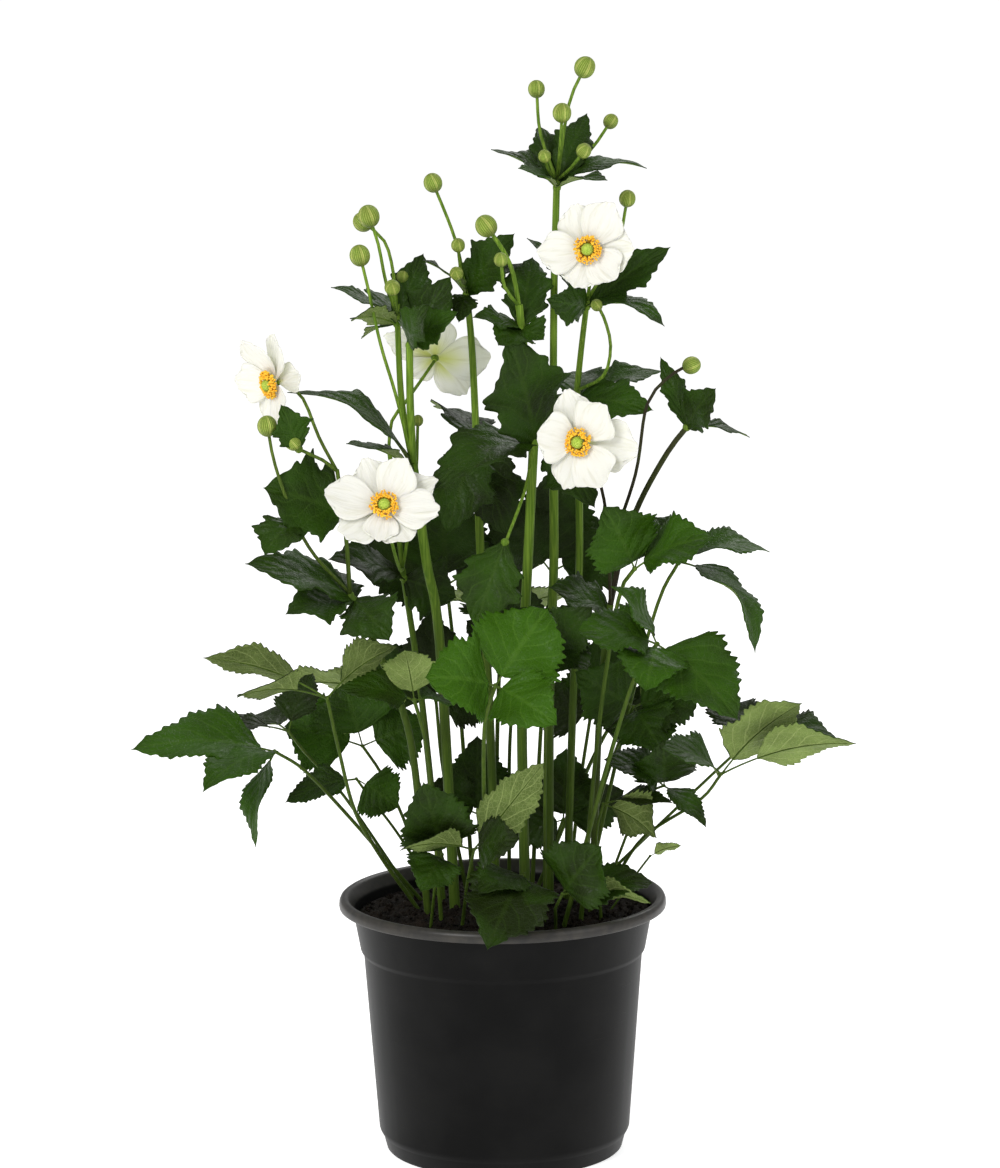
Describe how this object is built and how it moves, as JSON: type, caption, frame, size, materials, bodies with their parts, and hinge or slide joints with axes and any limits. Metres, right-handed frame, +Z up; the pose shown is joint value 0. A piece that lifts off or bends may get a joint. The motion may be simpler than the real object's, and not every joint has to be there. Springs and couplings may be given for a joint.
{
  "type": "potted japanese anemone",
  "caption": "White-flowered Japanese anemone with divided toothed leaves, upright leafy stems, buds and open blooms, rooted in soil in a round black nursery pot.",
  "frame": {"origin": "centre of the pot's underside, where it rests on the ground", "axes": "+Z up, +X to the right in the picture, +Y away from the camera, so the plant's front looks towards -Y"},
  "size_m": [0.408, 0.2645, 0.634],
  "materials": {
    "pot": "black moulded plastic, satin, scuffed at the rim",
    "soil": "damp dark crumbly potting soil",
    "leaf": "dark green leaf, semi-glossy above, paler and matte below",
    "stem": "fresh green, finely downy",
    "petal": "white petal, soft and matte",
    "stamen": "golden yellow, powdery"
  },
  "bodies": {
    "root": {"pot": "pot", "soil": "soil", "leaf_left_upper": "leaf", "leaf_left_lower": "leaf", "leaf_left_dark": "leaf", "leaf_left_round": "leaf", "leaf_low_left": "leaf", "leaf_centre_light": "leaf", "leaf_centre_bright": "leaf", "leaf_centre_right": "leaf", "leaf_twisted": "leaf", "leaf_left_front": "leaf", "leaf_front_rim": "leaf", "leaf_right_front": "leaf", "leaf_right_low": "leaf", "leaf_right_dark": "leaf", "leaf_right_small": "leaf", "leaf_right_round": "leaf", "leaf_seedling": "leaf", "leaf_right_high": "leaf", "leaf_right_droop": "leaf", "leaf_right_textured": "leaf", "leaf_right_pair": "leaf", "leaf_back_left": "leaf", "leaf_back_middle": "leaf", "leaf_back_right": "leaf", "leaf_tall_left": "leaf", "leaf_tall_right": "leaf", "leaf_inner_left": "leaf", "leaf_inner_centre": "leaf", "leaf_inner_right": "leaf", "leaf_inner_low": "leaf", "leaf_inner_edge": "leaf", "stem_tall": "stem", "stem_second": "stem", "stem_right": "stem", "stem_centre": "stem", "stem_back": "stem", "stem_fork": "stem", "stem_behind": "stem", "stem_left": "stem", "bloom_top_petals": "petal", "bloom_top_stamens": "stamen", "bloom_right_petals": "petal", "bloom_right_stamens": "stamen", "bloom_front_petals": "petal", "bloom_front_stamens": "stamen", "bloom_left_petals": "petal", "bloom_left_stamens": "stamen", "bloom_back_petals": "petal", "bloom_back_stamens": "stamen"}
  },
  "joints": []
}
